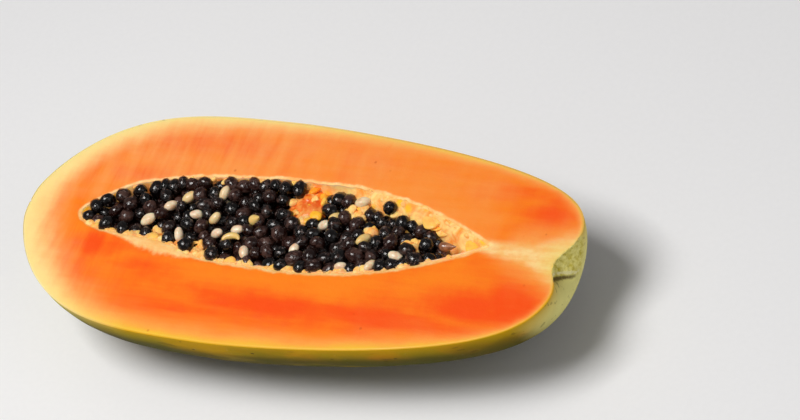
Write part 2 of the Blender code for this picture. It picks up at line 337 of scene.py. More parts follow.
def hollow_middle(x):
    return HOLLOW_OFFSET + HOLLOW_SLANT * x - HOLLOW_TIP_DIP * (1.0 - smooth_step(HOLLOW_TIP, x))


def hollow_width(x, side):
    """Half the hollow's width at the cut. The lining's shoulder narrows the side towards -Y."""
    shoulder = SHOULDER_HEIGHT * bump(x, SHOULDER_AT, SHOULDER_LENGTH) * (side < 0)
    return np.maximum((HOLLOW_HALF_WIDTH - shoulder) * hollow_share(x), TINY)


def hollow_depth(x):
    return np.maximum(HOLLOW_DEPTH * hollow_share(x), TINY)


def section_depth(x, across):
    """Share of the hollow's depth at a share of its width: an ellipse, or a ramp on the +Y side."""
    upright = np.sqrt(np.maximum(0.0, 1.0 - across**2))
    ramp = 1.0 - smooth_step((0.0, 1.0), np.abs(across))
    ramped = smooth_step(RAMP_BETWEEN, x) * (across > 0)
    return upright + (ramp - upright) * ramped


def wall_height(x, y):
    """Height of the hollow's wall over a place on the cut plane."""
    across = y - hollow_middle(x)
    share = np.clip(across / hollow_width(x, across), -1.0, 1.0)
    return -hollow_depth(x) * section_depth(x, share)


def heap_top(x, y):
    """Height of the middles of the topmost seeds over a place on the cut plane."""
    across = (y - hollow_middle(x)) / HOLLOW_HALF_WIDTH
    fallen = smooth_step(FALLEN_FROM, x) * smooth_step(FALLEN_ACROSS, across)
    last = SEEDS_BETWEEN[1] - LAST_SEEDS_SLANT * np.maximum(0.0, across)
    past_last = smooth_step((-LAST_SEEDS_SLOPE, LAST_SEEDS_SLOPE), x - last)
    return HEAP_TOP - FALLEN_BY * fallen - 2 * HOLLOW_DEPTH * past_last


# How the seeds settle


def push_apart(places, radii, spacing):
    """One step that moves seeds out of each other."""
    between = places[:, None, :] - places[None, :, :]
    distance = np.linalg.norm(between, axis=2) + 1e-9
    overlap = spacing * (radii[:, None] + radii[None, :]) - distance
    np.fill_diagonal(overlap, 0.0)
    push = PUSH * np.clip(overlap, 0.0, None) / distance
    return places + (push[:, :, None] * between).sum(axis=1)


def hollow_level(places):
    """1 on the wall of the hollow and less inside it."""
    x, y, z = places.T
    across = y - hollow_middle(x)
    share = np.abs(across) / hollow_width(x, across)
    inside = np.minimum(share, 0.97)
    narrowing = np.sqrt(1.0 - inside**2) / section_depth(x, inside * np.sign(across))
    return np.hypot(share, np.minimum(z, 0.0) / hollow_depth(x) * narrowing)


def keep_in_hollow(places, radii, ceilings):
    """One step that moves seeds under the heap's surface and off the hollow's wall."""
    x, y, z = places.T
    z = np.clip(z, heap_top(x, y) - HEAP_THICKNESS, heap_top(x, y) + ceilings)
    places = np.stack([np.clip(x, *SEEDS_BETWEEN), y, z], axis=1)
    step = 0.0002
    sides = step * np.eye(3)
    rise = [hollow_level(places + side) - hollow_level(places - side) for side in sides]
    slope = np.stack(rise, axis=1) / (2 * step)
    steepness = np.linalg.norm(slope, axis=1) + TINY
    short_by = radii + SEED_WALL_GAP - (1.0 - hollow_level(places)) / steepness
    return places - slope * (np.maximum(short_by, 0.0) / steepness)[:, None]


def placed_by_hand():
    """Middles of the pale seeds, the far rim's seeds and the bare patches, and all radii."""
    pale = [(x, y, resting_height(x, y, PALE_SEED_RADIUS) + PALE_SEED_LIFT) for x, y in PALE_SEEDS]
    rim = [(x, y, resting_height(x, y, SEED_RADIUS)) for x, y in FAR_RIM_SEEDS]
    patches = [(x, y, BARE_BALL_MIDDLE) for x, y, *_ in BARE_PATCHES]
    radii = [PALE_SEED_RADIUS] * len(pale) + [SEED_RADIUS] * len(rim)
    radii += [(half_x + half_y) / 2 for _, _, half_x, half_y, _ in BARE_PATCHES]
    return pale, rim, patches, radii


def settled_seeds():
    """Middle and radius of each dark seed, settled round what has a given place."""
    draw = random.Random(DRAW)
    pale, rim, patches, radii = placed_by_hand()
    fixed = np.array(pale + rim + patches)
    places, ceilings = [], [0.0] * len(fixed)
    while len(places) < SEED_COUNT:
        x = draw.uniform(*SEEDS_BETWEEN)
        y = hollow_middle(x) + draw.uniform(-HOLLOW_HALF_WIDTH, HOLLOW_HALF_WIDTH)
        if abs(y - hollow_middle(x)) > hollow_width(x, y - hollow_middle(x)):
            continue
        places.append((x, y, heap_top(x, y) - draw.uniform(0.0, HEAP_THICKNESS)))
        radii.append(SEED_RADIUS * draw.uniform(*SIZE_SPREAD))
        ceilings.append(draw.uniform(-1.0, 1.0) * HEAP_ROUGHNESS)
    places, radii, ceilings = np.concatenate([fixed, places]), np.array(radii), np.array(ceilings)
    for spacing in np.linspace(*SPACING, SETTLING_STEPS):
        places = keep_in_hollow(push_apart(places, radii, spacing), radii, ceilings)
        places[: len(fixed)] = fixed
    places[:, 2] = np.minimum(places[:, 2], HIGHEST_MIDDLE)
    return list(zip(places, radii))[len(fixed) :]


# Node trees


class Value:
    """A node's output that takes part in sums, so that 1 - mask adds its Math node."""

    def __init__(self, nodes, socket):
        self.nodes = nodes
        self.socket = socket

    def math(self, operation, *values):
        return self.nodes.add("ShaderNodeMath", {"operation": operation}, dict(enumerate(values)))

    def __add__(self, other):
        return self.math("ADD", self, other)

    def __sub__(self, other):
        return self.math("SUBTRACT", self, other)

    def __rsub__(self, other):
        return self.math("SUBTRACT", other, self)

    def __mul__(self, other):
        return self.math("MULTIPLY", self, other)

    def __rtruediv__(self, other):
        return self.math("DIVIDE", other, self)

    __radd__ = __add__
    __rmul__ = __mul__

    def above(self, low, high):
        """0 under low, 1 over high and smooth between."""
        sockets = {"Value": self, "From Min": low, "From Max": high}
        return self.nodes.add("ShaderNodeMapRange", {"interpolation_type": "SMOOTHSTEP"}, sockets)


class Nodes:
    """Adds nodes to one tree."""

    def __init__(self, tree):
        self.tree = tree
        tree.nodes.clear()

    def add(self, kind, settings=None, sockets=None, output=0):
        """One node: its settings are set first, then the values or links of its sockets."""
        made = self.tree.nodes.new(kind)
        for name, setting in (settings or {}).items():
            setattr(made, name, setting)
        for name, value in (sockets or {}).items():
            if isinstance(value, Value):
                self.tree.links.new(value.socket, made.inputs[name])
            else:
                made.inputs[name].default_value = value
        return Value(self, made.outputs[output]) if made.outputs else made


class Paint(Nodes):
    """A material's nodes. Their patterns lie in the object's own coordinates, in metres."""

    def __init__(self, tree):
        super().__init__(tree)
        self.place = self.add("ShaderNodeTexCoord", output="Object")

    def mix(self, share, *colours):
        """A colour between two, each of them a node's output or a screen colour."""
        first, second = (colour(*value) if isinstance(value, tuple) else value for value in colours)
        return self.add("ShaderNodeMix", {"data_type": "RGBA"}, {"Factor": share, 6: first, 7: second}, 2)

    def layers(self, paint, *coats):
        """Colours laid over one another, each where its share says."""
        for share, over in coats:
            paint = self.mix(share, paint, over)
        return paint

    def painted(self, name):
        return self.add("ShaderNodeAttribute", {"attribute_name": name}, output="Fac")

    def pattern(self, kind, sockets, along=1.0, aside=1.0, output=0):
        """A texture, drawn out along X or Y where that number is small."""
        place = self.place
        if (along, aside) != (1.0, 1.0):
            place = self.add("ShaderNodeMapping", sockets={"Vector": place, "Scale": (along, aside, 1.0)})
        return self.add(kind, sockets={"Vector": place, **sockets}, output=output)

    def noise(self, size, detail=2.0, rough=0.5, warp=0.0, **drawn_out):
        """Noise from 0 to 1, with features of about this size."""
        sockets = {"Scale": 0.5 / size, "Detail": detail, "Roughness": rough, "Distortion": warp}
        return self.pattern("ShaderNodeTexNoise", sockets, **drawn_out)

    def cells(self, size, **drawn_out):
        """Distance from the nearest of many dots, in shares of their spacing."""
        return self.pattern("ShaderNodeTexVoronoi", {"Scale": 1.0 / size}, output="Distance", **drawn_out)

    def finish(self, paint, rough, height, depth, strength, **others):
        """The inputs that vary: colour, roughness, the normal of a relief this deep, and others."""
        sockets = {"Height": height, "Distance": depth, "Strength": strength}
        normal = self.add("ShaderNodeBump", sockets=sockets)
        return {"Base Color": paint, "Roughness": rough, "Normal": normal, **others}


def material(name, paint, **constants):
    """A Principled material. paint(nodes) gives its varying inputs, constants the others."""
    made = bpy.data.materials.new(name)
    made.use_nodes = True
    nodes = Paint(made.node_tree)
    values = {**constants, **paint(nodes)}
    sockets = {key.replace("_", " "): value for key, value in values.items()}
    shader = nodes.add("ShaderNodeBsdfPrincipled", sockets=sockets)
    nodes.add("ShaderNodeOutputMaterial", sockets={"Surface": shader})
    return made


# Finishes


def skin_paint(nodes):
    """Golden and green mottling, an orange blush, a green belly that is partly painted shade, pale ends that
    are partly painted light at the blossom end, dark specks, russet streaks, and a crease painted dark as
    painted shade under a painted highlight.
    """
    broad = nodes.noise(0.03, 3.0)
    fine = nodes.noise(0.006, 4.0, 0.6)
    grain = nodes.noise(0.0022, 4.0, 0.65, along=0.4)
    blush = nodes.noise(0.034, 3.0, along=0.6).above(0.46, 0.64)
    green = broad + (fine - 0.5) * 0.35 + (grain - 0.5) * 0.12 + nodes.painted("green_side") * 0.25
    # Darker green towards the bottom of the skin: partly its own green, partly painted shade on the side
    # turned from the light
    green_and_shaded_belly = nodes.painted("green_and_shaded_belly") + (broad - 0.5) * 1.2 + (grain - 0.5) * 0.25
    dark = nodes.noise(0.016, 3.0, along=0.55).above(0.58, 0.72)
    pale = nodes.noise(0.009, 4.0, 0.6, along=0.35).above(0.54, 0.74)
    # Paler skin at both ends: the stem end's own colour, and at the blossom end partly painted light
    pale_and_lit_end = nodes.painted("pale_and_lit_ends") * (0.45 + broad * 0.55 + fine * 0.45)
    shade = nodes.painted("green_shoulder") + (grain - 0.5) * 0.5
    rim = nodes.mix(nodes.painted("golden"), (248, 232, 140), (216, 166, 10))
    specks = 1 - nodes.cells(0.005, along=0.6).above(0.07, 0.15)
    some = nodes.noise(0.012, 1.0).above(0.4, 0.54)
    streaks = nodes.noise(0.0016, 2.0, along=0.16).above(0.62, 0.7)
    marks = specks * some + streaks * 0.45
    fibre = nodes.noise(0.0012, 3.0, 0.7)
    scar = nodes.painted("scar")
    pad = nodes.mix(fibre.above(0.25, 0.65), (202, 184, 62), (250, 238, 146))
    # A whitish painted highlight along the lip above the crease
    crease_highlight = nodes.painted("crease_highlight") + (fibre - 0.5) * 2.2
    # The crease is dented and painted dark brown: painted shade in its fold
    crease = nodes.painted("crease") + (fibre - 0.5) * 0.9
    paint = nodes.layers(
        (198, 150, 2),
        (blush * 0.85, (204, 108, 2)),
        (green.above(0.42, 0.66) * 0.8, (126, 130, 18)),
        (green_and_shaded_belly.above(0.05, 1.0) * 0.9, (60, 64, 6)),
        (dark * 0.5, (70, 62, 6)),
        (pale * 0.35, (226, 188, 34)),
        (pale_and_lit_end, (238, 230, 146)),
        (shade.above(0.2, 0.9) * 0.8, (84, 74, 10)),
        (nodes.painted("near_rim") * 0.95, rim),
        (marks.above(0.0, 1.0) * 0.85, (78, 62, 10)),
        (scar, pad),
        (crease_highlight.above(0.3, 1.1) * 0.45, (246, 240, 206)),
        (crease.above(0.2, 0.9) * 0.85, (84, 64, 26)),
    )
    height = nodes.noise(0.0007, 3.0, 0.6) * 0.35 + fine * 0.65 - marks * 0.5 + scar * fibre * 1.5
    return nodes.finish(paint, 0.5 + fine * 0.16 + scar * 0.3, height, 0.0004, 0.6)


def flesh_paint(nodes):
    """Orange flesh: redder patches, paler and then golden or cream at the skin, cream at the hollow."""
    cloud = nodes.noise(0.016, 3.0)
    grain = nodes.noise(0.0035, 3.0, 0.6, aside=0.7)
    fibres = nodes.noise(0.0016, 3.0, 0.6, along=0.12)
    streaks = nodes.noise(0.0045, 3.0, 0.6, along=0.14)
    spokes = nodes.noise(0.003, 3.0, 0.6, aside=0.16)
    golden = nodes.painted("golden")
    fine = (grain - 0.5) * 0.34 + (fibres - 0.5) * 0.26
    lines = (streaks - 0.5) * 0.7 * golden + (spokes - 0.5) * 0.9 * (1 - golden)
    redness = nodes.painted("redness") + (cloud - 0.5) * 0.6 + fine + lines
    pale = nodes.painted("pale") + (cloud - 0.5) * 0.26 + fine * 0.6 - lines * 0.35
    at_edge = nodes.painted("edge") + (grain - 0.5) * 0.2
    torn = nodes.noise(0.0022, 3.0, 0.6)
    cream = (nodes.painted("cream") + (torn - 0.5) * 0.5 + (cloud - 0.5) * 0.3).above(0.3, 0.72)
    threads = nodes.noise(0.0016, 3.0, 0.6, along=0.22)
    tissue = nodes.mix((threads + torn - 1).above(-0.3, 0.3), (252, 188, 108), (255, 218, 150))
    strand = nodes.painted("strand") + (cloud - 0.5) * 0.35 + (threads - 0.5) * 0.25
    pale_strand = nodes.mix(nodes.painted("by_scar") * 0.8, tissue, (236, 218, 118))
    dots = 1 - nodes.cells(0.0085).above(0.04, 0.11)
    few = nodes.noise(0.009, 1.0).above(0.56, 0.62)
    paint = nodes.layers(
        (255, 132, 20),
        (redness.above(-0.05, 0.75), (251, 80, 4)),
        (pale.above(0.0, 0.62), nodes.mix(golden, (255, 172, 102), (254, 158, 70))),
        (pale.above(0.36, 1.0), nodes.mix(golden, (254, 224, 146), (244, 194, 54))),
        (at_edge.above(0.35, 0.75), nodes.mix(golden, (252, 234, 176), (224, 170, 20))),
        (cream * 0.9, tissue),
        (strand.above(0.05, 1.0) * 0.92, pale_strand),
        (dots * few * 0.45, (206, 66, 8)),
    )
    wet = nodes.noise(0.0014, 3.0, 0.65)
    height = wet * 0.5 + grain * 0.35 + fibres * 0.3 + cream * torn * 0.6
    coat = nodes.noise(0.02, 2.0).above(0.4, 0.7) * 0.15
    return nodes.finish(paint, 0.34 + wet * 0.24, height, 0.00035, 0.6, Coat_Weight=coat)


def lining_paint(nodes):
    """Torn cream lining with blots of yellow and orange wet tissue deeper down, glowing faintly in its own
    colour as painted light.
    """
    torn = nodes.noise(0.003, 4.0, 0.6, 0.6)
    broad = nodes.noise(0.01, 2.0)
    deep = nodes.painted("depth")
    paint = nodes.mix(torn.above(0.3, 0.66), (252, 150, 62), (255, 210, 132))
    blots = 1 - nodes.cells(0.0062).above(0.12, 0.46)
    paint = nodes.mix(blots * broad.above(0.36, 0.52) * 0.85, paint, (255, 190, 42))
    red = nodes.noise(0.006, 3.0, 0.6, aside=1.4).above(0.56, 0.7)
    paint = nodes.mix(red * (0.15 + deep * 0.6), paint, (234, 92, 30))
    threads = nodes.noise(0.001, 2.0, along=0.25)
    height = torn * 0.8 + threads * 0.3 + blots * 0.5
    # The lining glows in its own colour: painted light, as if light came through the flesh
    wet = {"Emission_Color": paint, "Coat_Weight": broad.above(0.3, 0.6) * 0.12}
    return nodes.finish(paint, 0.28 + torn * 0.25, height, 0.0005, 0.4, **wet)


def pulp_paint(nodes):
    """Wet pulp painted near black in the gaps between the seeds, partly its own dark red and partly painted
    shade there, and orange or cream tissue in the bare patches.
    """
    torn = nodes.noise(0.003, 3.0, 0.6, 0.5)
    # Near black: painted shade in the gaps between the seeds, over the pulp's own dark red
    paint = nodes.mix(torn.above(0.35, 0.7), (14, 5, 3), (58, 18, 8))
    flesh = nodes.mix(torn.above(0.4, 0.62), (226, 70, 8), (250, 136, 40))
    cream = nodes.noise(0.0042, 3.0, 0.6, 0.8).above(0.5, 0.66)
    flesh = nodes.mix(cream * 0.8, flesh, (254, 204, 122))
    spongy = nodes.mix(torn.above(0.35, 0.62), (240, 138, 46), (255, 200, 112))
    flesh = nodes.mix(nodes.painted("ripe"), spongy, flesh)
    paint = nodes.mix((nodes.painted("bare") + (torn - 0.5) * 0.4).above(0.25, 0.55), paint, flesh)
    return nodes.finish(paint, 0.2 + torn * 0.3, torn, 0.0008, 0.8)


def dark_seed_paint(nodes):
    """Near-black wrinkled seeds under a thin clear coat that is greyish or brown in places, with pale grey
    flecks that are partly painted glints.
    """
    tint = nodes.painted("tint")
    film = nodes.noise(0.0022, 3.0, 0.6, 0.8)
    paint = nodes.mix(tint.above(0.3, 1.0), (7, 4, 4), (38, 14, 9))
    filmed = (film + tint * 0.16).above(0.58, 0.76)
    paint = nodes.mix(filmed * 0.55, paint, (94, 66, 58))
    wrinkles = nodes.noise(0.001, 2.0, 0.6, 0.6)
    # Pale grey flecks: partly the coat's own flecks, partly painted glints on the wet seeds
    flecks_and_glints = nodes.noise(0.0008, 2.0, 0.6, 0.4).above(0.6, 0.72)
    paint = nodes.mix(flecks_and_glints * 0.5, paint, (132, 112, 106))
    height = wrinkles * 0.8 + film * 0.6
    return nodes.finish(paint, 0.12 + filmed * 0.25, height, 0.0007, 0.9, Coat_Weight=0.8 - filmed * 0.4)


def pale_seed_paint(nodes):
    """Undeveloped seeds: cream with light brown mottling, some of them yellower."""
    mottle = nodes.noise(0.0016, 3.0)
    paint = nodes.mix(mottle.above(0.35, 0.75), (246, 228, 196), (224, 178, 138))
    paint = nodes.mix(nodes.painted("tint").above(0.5, 1.2), paint, (232, 190, 92))
    return nodes.finish(paint, 0.22 + mottle * 0.2, mottle, 0.0003, 0.5)


def brown_seed_paint(nodes):
    """A half-formed seed, mottled brown."""
    mottle = nodes.noise(0.0014, 3.0)
    paint = nodes.mix(mottle.above(0.3, 0.7), (96, 50, 30), (176, 116, 76))
    return nodes.finish(paint, 0.2 + mottle * 0.2, mottle, 0.0003, 0.6)


def tissue_paint(nodes):
    """Soft wet shreds: cream at tint 0, yellow in the middle and orange-red at 1, glowing faintly in their
    own colour as painted light.
    """
    tint = nodes.painted("tint")
    mottle = nodes.noise(0.0018, 3.0, 0.6)
    cream = nodes.mix(mottle.above(0.3, 0.7), (252, 168, 86), (255, 208, 132))
    paint = nodes.mix((tint + (mottle - 0.5) * 0.5).above(0.1, 0.6), cream, (255, 182, 50))
    paint = nodes.mix((tint + (mottle - 0.5) * 0.3).above(0.55, 0.95), paint, (236, 84, 14))
    # The shreds glow in their own colour: painted light
    return nodes.finish(paint, 0.35 + mottle * 0.25, mottle, 0.0003, 0.4, Emission_Color=paint)


def floor_paint(nodes):
    grain = nodes.noise(0.0012, 2.0)
    paint = nodes.mix(grain, (236, 236, 238), (240, 240, 242))
    return {"Base Color": paint, "Roughness": 0.55 + grain * 0.05}


WAXY_SKIN = material("waxy_skin", skin_paint, Specular_IOR_Level=0.05, IOR=1.35)
CUT_FLESH = material(
    "cut_flesh",
    flesh_paint,
    Specular_IOR_Level=0.25,
    Subsurface_Weight=0.18,
    Subsurface_Scale=0.006,
    Subsurface_Radius=(1.0, 0.35, 0.12),
    Coat_Roughness=0.25,
)
# Wet tissue that also glows faintly in its own colour: painted light
WET_AND_GLOWING = {
    "Specular_IOR_Level": 0.15,
    "Subsurface_Weight": 0.5,
    "Subsurface_Radius": (1.0, 0.5, 0.2),
    "Emission_Strength": 0.14,
}
HOLLOW_LINING = material("hollow_lining", lining_paint, **WET_AND_GLOWING, Subsurface_Scale=0.006, Coat_Roughness=0.15)
WET_TISSUE = material(
    "wet_tissue", tissue_paint, **WET_AND_GLOWING, Subsurface_Scale=0.004, Coat_Weight=0.15, Coat_Roughness=0.2
)
WET_PULP = material("wet_pulp", pulp_paint, Specular_IOR_Level=0.2, Coat_Weight=0.2, Coat_Roughness=0.1)
DARK_SEED = material(
    "dark_seed", dark_seed_paint, Specular_IOR_Level=0.2, Coat_IOR=1.42, Coat_Roughness=0.04
)
PALE_SEED = material("pale_seed", pale_seed_paint, Subsurface_Weight=0.2, Subsurface_Scale=0.002)
BROWN_SEED = material("brown_seed", brown_seed_paint, Coat_Weight=0.6)


# Meshes

SKIN, FACE, LINING = range(3)  # the fruit's finishes, in the order of its materials


def new_object(name, data):
    made = bpy.data.objects.new(name, data)
    bpy.context.scene.collection.objects.link(made)
    return made


def stands_for(piece, node):
    """The piece rides on the fruit's one body and stands for a solid."""
    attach(piece, "root")
    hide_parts(node)


def write(mesh, key, values):
    """An attribute with one number, or one vector, for each point."""
    values = np.array(values, dtype=np.float32)
    kind, field = ("FLOAT", "value") if values.ndim == 1 else ("FLOAT_VECTOR", "vector")
    mesh.attributes.new(key, kind, "POINT").data.foreach_set(field, values.ravel())


def mesh_piece(name, points, faces, materials, attributes, slots=None):
    """A smooth object from points in the cut plane's frame, lifted to where the solids lie."""
    mesh = bpy.data.meshes.new(name)
    mesh.from_pydata([Vector(point) + LIFT for point in points], [], faces)
    for finish in materials:
        mesh.materials.append(finish)
    if slots is not None:
        mesh.polygons.foreach_set("material_index", np.asarray(slots, dtype=np.int32))
    for key, values in attributes.items():
        write(mesh, key, values)
    mesh.shade_smooth()
    return new_object(name, mesh)


def grid_points(x, y, z):
    return np.stack([np.broadcast_to(x, y.shape), y, z], axis=-1)


def crowded(count):
    """Shares from 0 to 1, closer together at both ends."""
    t = np.linspace(0.0, 1.0, count)
    return t - EDGE_CROWDING * np.sin(2.0 * pi * t) / (2.0 * pi)


def stations():
    """Places along the fruit, evenly spaced round the rim but closer at the scar."""
    share = np.linspace(-1.0, 1.0, 6001)
    along = np.sign(share) * (1.0 - (1.0 - np.abs(share)) ** 4)
    rim = fruit_points(along, np.zeros_like(along))
    steps = np.linalg.norm(np.diff(rim, axis=0), axis=1)
    at_scar = (along[1:] > 0) * bump(rim[1:, 1], 0.0, 1.4 * SCAR_RADIUS)
    walked = np.concatenate([[0.0], np.cumsum(steps * (1.0 + 1.2 * at_scar))])
    return np.interp(np.linspace(0.0, walked[-1], STATIONS), walked, along)


def nearest(points, line):
    """Distance of each point from the nearest point of a line, seen from above."""
    found = np.empty(len(points))
    for start in range(0, len(points), 2000):
        part = points[start : start + 2000, None, :2] - line[None, :, :2]
        found[start : start + 2000] = np.sqrt((part**2).sum(axis=2)).min(axis=1)
    return found


def ragged_width(x, side):
    """Half the hollow's width at its ragged edge on the cut plane, on one side."""
    points = grid_points(x, np.full_like(x, side * 0.05), np.zeros_like(x))
    height, length = EDGE_RAGGEDNESS
    ragged = height * lumps(points, length) + 0.5 * height * lumps(points, length / 3, 7.0)
    return np.maximum(hollow_width(x, side) + ragged * hollow_share(x), TINY)[:, None]


def fruit_grid():
    """Rings of points round the half: skin, near cut face, hollow and far cut face."""
    along = stations()
    turn = -pi * crowded(SKIN_POINTS)
    skin = fruit_points(along[:, None], turn[None, :])
    skin[:, :, 2] = np.maximum(skin[:, :, 2], FLAT_SPOT_DEPTH - HALF_DEPTH)
    skin[:, [0, -1], 2] = 0.0

    x = (HOLLOW_ENDS[0] + HOLLOW_ENDS[1]) / 2 + along * (HOLLOW_ENDS[1] - HOLLOW_ENDS[0]) / 2
    round_wall = -pi + pi * crowded(WALL_POINTS)
    across = np.cos(round_wall)[None, :]
    width = np.where(across < 0, ragged_width(x, -1), ragged_width(x, 1))
    depth = hollow_depth(x)[:, None] * section_depth(x[:, None], across)
    depth = depth * (np.sin(-round_wall) > TINY)[None, :]
    wall = grid_points(x[:, None], hollow_middle(x)[:, None] + width * across, -depth)

    share = crowded(FACE_POINTS)[1:-1, None]
    near = skin[:, -1, None, :] * (1 - share) + wall[:, 0, None, :] * share
    far = wall[:, -1, None, :] * share + skin[:, 0, None, :] * (1 - share)
    return skin, near, wall, far[:, ::-1]


def weld_ends(rings, parts):
    """Number of each grid point. Points that fall together at both ends share one."""
    count, around = rings
    skin, near, wall, _ = parts
    number = np.arange(count * around).reshape(count, around)
    for end in (0, count - 1):
        row = number[end]
        row[:skin] = row[0]
        wall_start = skin + near
        row[wall_start : wall_start + wall] = row[wall_start]
        row[wall_start + wall :] = row[skin:wall_start][::-1]
    return number


def ring_faces(number, zones):
    """Quads between neighbouring rings, as triangles where two corners are welded."""
    faces, slots = [], []
    count, around = number.shape
    for k in range(count - 1):
        for j in range(around):
            after = (j + 1) % around
            corners = [number[k, j], number[k, after], number[k + 1, after], number[k + 1, j]]
            corners = list(dict.fromkeys(int(corner) for corner in corners))
            if len(corners) > 2:
                faces.append(corners)
                slots.append(zones[j])
    return faces, slots


def face_paint_map(points, rim, hollow):
    """What the cut face's paint needs to know at each point."""
    x, y = points[:, 0], points[:, 1]
    from_skin, from_hollow = nearest(points, rim), nearest(points, hollow)
    across = from_hollow / (from_hollow + from_skin + TINY)
    far = smooth_step(FAR_SIDE, y)
    near = 1.0 - far
    red = RED_BAND_STRENGTH * bump(across, *RED_BAND) * (1.0 - 0.45 * far) + LEAST_RED
    for middle_x, middle_y, half_x, half_y, strength in RED_PATCHES:
        away = ((x - middle_x) / half_x) ** 2 + ((y - middle_y) / half_y) ** 2
        red = np.maximum(red, strength * np.exp(-RED_PATCH_FADING * away))
    border = np.interp(x, *NEAR_BORDER) * near + np.interp(x, *FAR_BORDER) * far
    pale = np.exp(-((from_skin / border) ** (1.6 - 0.6 * smooth_step(BLUNT_END, x))))
    pale = np.maximum(pale, FAR_PALENESS * far * (1.0 - 0.8 * smooth_step(FAR_PALE_UNTIL, x)))

    past_tip = np.maximum(x - HOLLOW_ENDS[1], 0.0)
    strand_middle = STRAND_START - STRAND_SLANT * (x - HOLLOW_ENDS[1])
    glow = GLOW_STRENGTH * smooth_step(GLOW_FROM, x)
    pale = np.maximum(pale, glow * bump(y, strand_middle, GLOW_WIDTHS[0] + GLOW_WIDTHS[1] * past_tip))
    start, growing, at_scar = STRAND_WIDTHS
    width = start + growing * past_tip + at_scar * smooth_step(STRAND_FLARE, x)
    strand = smooth_step(STRAND_FROM, x) * np.exp(-(np.abs(y - strand_middle) / width) ** 2.6)

    cream_width = CREAM_WIDTH + WEDGE_WIDTH * bump(x, *CREAM_WEDGE) * near
    cream_width = cream_width + NEAR_CREAM_WIDTH * near * smooth_step(NEAR_CREAM_FROM, x)
    return {
        "redness": red,
        "pale": pale,
        "golden": np.interp(x, *NEAR_GOLD) * near + np.interp(x, *FAR_GOLD) * far,
        "edge": np.exp(-from_skin / EDGE_WIDTH),
        "cream": np.exp(-((from_hollow / cream_width) ** 2)),
        "strand": strand,
        "by_scar": smooth_step(SCAR_PALENESS, x) * bump(y, 0.0, SCAR_PALE_WIDTH),
    }


def skin_paint_map(points):
    """The scar pad with its crease and the painted highlight above it, the paler skin at the ends and under
    the rim, and the belly. The crease's dark paint is painted shade, the belly's dark green is partly painted
    shade, and the blossom end's paleness is partly painted light.
    """
    x, y, z = points.T
    from_pad = np.hypot(y - PAD_MIDDLE[0], z - PAD_MIDDLE[1])
    on_pad = (1.0 - smooth_step(PAD_EDGE, from_pad)) * smooth_step(STEM_FACE, x)
    above_crease = (y - CREASE_START) * CREASE_LEAN[0] + z * CREASE_LEAN[1]
    # Paler skin at both ends, partly painted light at the blossom end
    pale_and_lit_end = np.maximum(smooth_step(PALE_STEM_END, x), 1.0 - smooth_step(PALE_AND_LIT_BLOSSOM_END, x))
    near = y < 0
    return {
        "scar": on_pad * smooth_step((0.0, CREASE_EDGE), above_crease),
        # The crease's mask dents the skin and paints it dark as painted shade
        "crease": bump(above_crease, *CREASE) * on_pad * (1.0 - 0.35 * smooth_step(CREASE_FADES, y)),
        # painted highlight above the crease
        "crease_highlight": bump(above_crease, *CREASE_HIGHLIGHT) * on_pad,
        "pale_and_lit_ends": pale_and_lit_end * (1.0 - 0.75 * smooth_step(PALE_DOWN_TO, -z)),
        "near_rim": np.exp(z / NEAR_RIM_DEPTH),
        "green_shoulder": bump(x, *GREEN_SHOULDER[0]) * bump(z, *GREEN_SHOULDER[1]) * near,
        "green_side": bump(x, *GREEN_SIDE[0]) * bump(z, *GREEN_SIDE[1]) * near,
        # dark green towards the bottom, partly painted shade
        "green_and_shaded_belly": smooth_step(GREEN_AND_SHADED_BELLY, -z),
    }


def make_fruit():
    """The half itself: skin, cut face and the hollow's lining, as one closed shell."""
    parts = fruit_grid()
    skin, _, wall, _ = parts
    grid = np.concatenate(parts, axis=1)
    kinds = [SKIN, FACE, LINING, FACE]
    counts = np.array([part.shape[1] for part in parts])
    zone = np.tile(np.repeat(kinds, counts), len(grid))
    face_zone = np.repeat(kinds, counts + (-1, 1, -1, 1))
    number = weld_ends(grid.shape[:2], counts)
    points = grid.reshape(-1, 3).copy()

    rim = np.concatenate([skin[:, 0], skin[:, -1]])
    hollow = np.concatenate([wall[:, 0], wall[:, -1]])
    attributes = face_paint_map(points, rim, hollow)
    attributes.update(skin_paint_map(points))
    attributes["depth"] = np.clip(-points[:, 2] / HOLLOW_DEPTH, 0.0, 1.0)

    on_face = (points[:, 2] > -TINY).astype(float)
    for line, (drop, width) in ((rim, RIM_ROUNDING), (hollow, LINING_ROUNDING)):
        points[:, 2] -= on_face * drop * np.exp(-((nearest(points, line) / width) ** 2))
    points[:, 2] -= on_face * FACE_WAVES[0] * (0.5 + 0.5 * lumps(points, FACE_WAVES[1]))

    off_rim = smooth_step(RELIEF_FROM, -points[:, 2])
    torn = lumps(points, LINING_LUMPS[1]) + 0.5 * lumps(points, LINING_LUMPS[1] / 2.5, 3.0)
    on_ramp = 1.0 + 0.8 * smooth_step(RAMP_ROUGHENS, points[:, 0])
    points[:, 2] += (zone == LINING) * off_rim * LINING_LUMPS[0] * torn * on_ramp

    off_rim = smooth_step(RELIEF_FROM, -points[:, 2])
    dimples = 0.5 + 0.5 * lumps(points, SKIN_DIMPLES[1], 5.0)
    points[:, 1] -= (zone == SKIN) * off_rim * SKIN_DIMPLES[0] * dimples * np.sign(points[:, 1])
    fibres = PAD_FIBRES[0] * (lumps(points, PAD_FIBRES[1], 9.0) - 0.4)
    scar = attributes["scar"] * fibres - CREASE_DEPTH * attributes["crease"]
    points[:, 0] += (zone == SKIN) * scar

    faces, slots = ring_faces(number, face_zone)
    made = mesh_piece("fruit_half", points, faces, [WAXY_SKIN, CUT_FLESH, HOLLOW_LINING], attributes, slots)
    tidy_shell(made)
    stands_for(made, "papaya_half")


